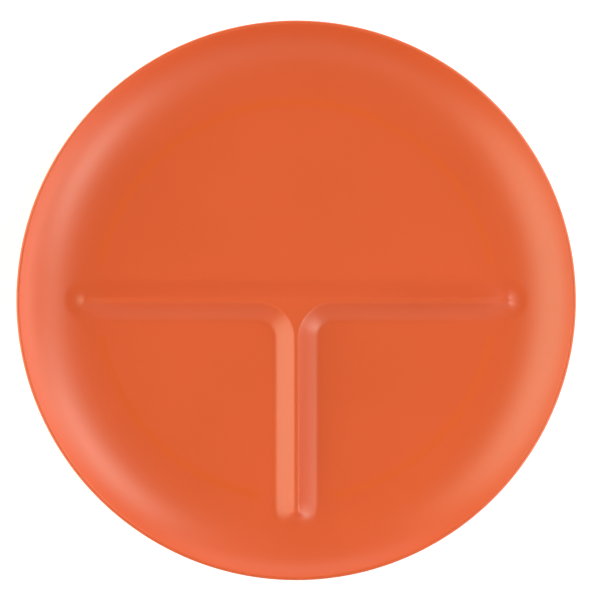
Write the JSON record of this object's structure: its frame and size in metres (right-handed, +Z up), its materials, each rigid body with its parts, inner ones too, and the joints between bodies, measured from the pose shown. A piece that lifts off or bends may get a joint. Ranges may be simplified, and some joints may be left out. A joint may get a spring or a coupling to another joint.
{
  "type": "divided compartment plate",
  "caption": "Round shallow dinner plate moulded in satin orange plastic, with low rounded dividers in a T that part the well into one half and two quarter compartments.",
  "frame": {"origin": "centre of the plate on the plane that it stands on", "axes": "+Z up out of the well, +Y towards the half compartment, +X towards the right quarter compartment"},
  "size_m": [0.266, 0.266, 0.021],
  "materials": {
    "orange_plastic": "satin moulded orange plastic, one colour all through"
  },
  "bodies": {
    "root": {"rim": "orange_plastic", "flared_wall": "orange_plastic", "large_floor": "orange_plastic", "left_floor": "orange_plastic", "right_floor": "orange_plastic", "cross_divider": "orange_plastic", "stem_divider": "orange_plastic", "large_foot": "orange_plastic", "left_foot": "orange_plastic", "right_foot": "orange_plastic"}
  },
  "joints": []
}
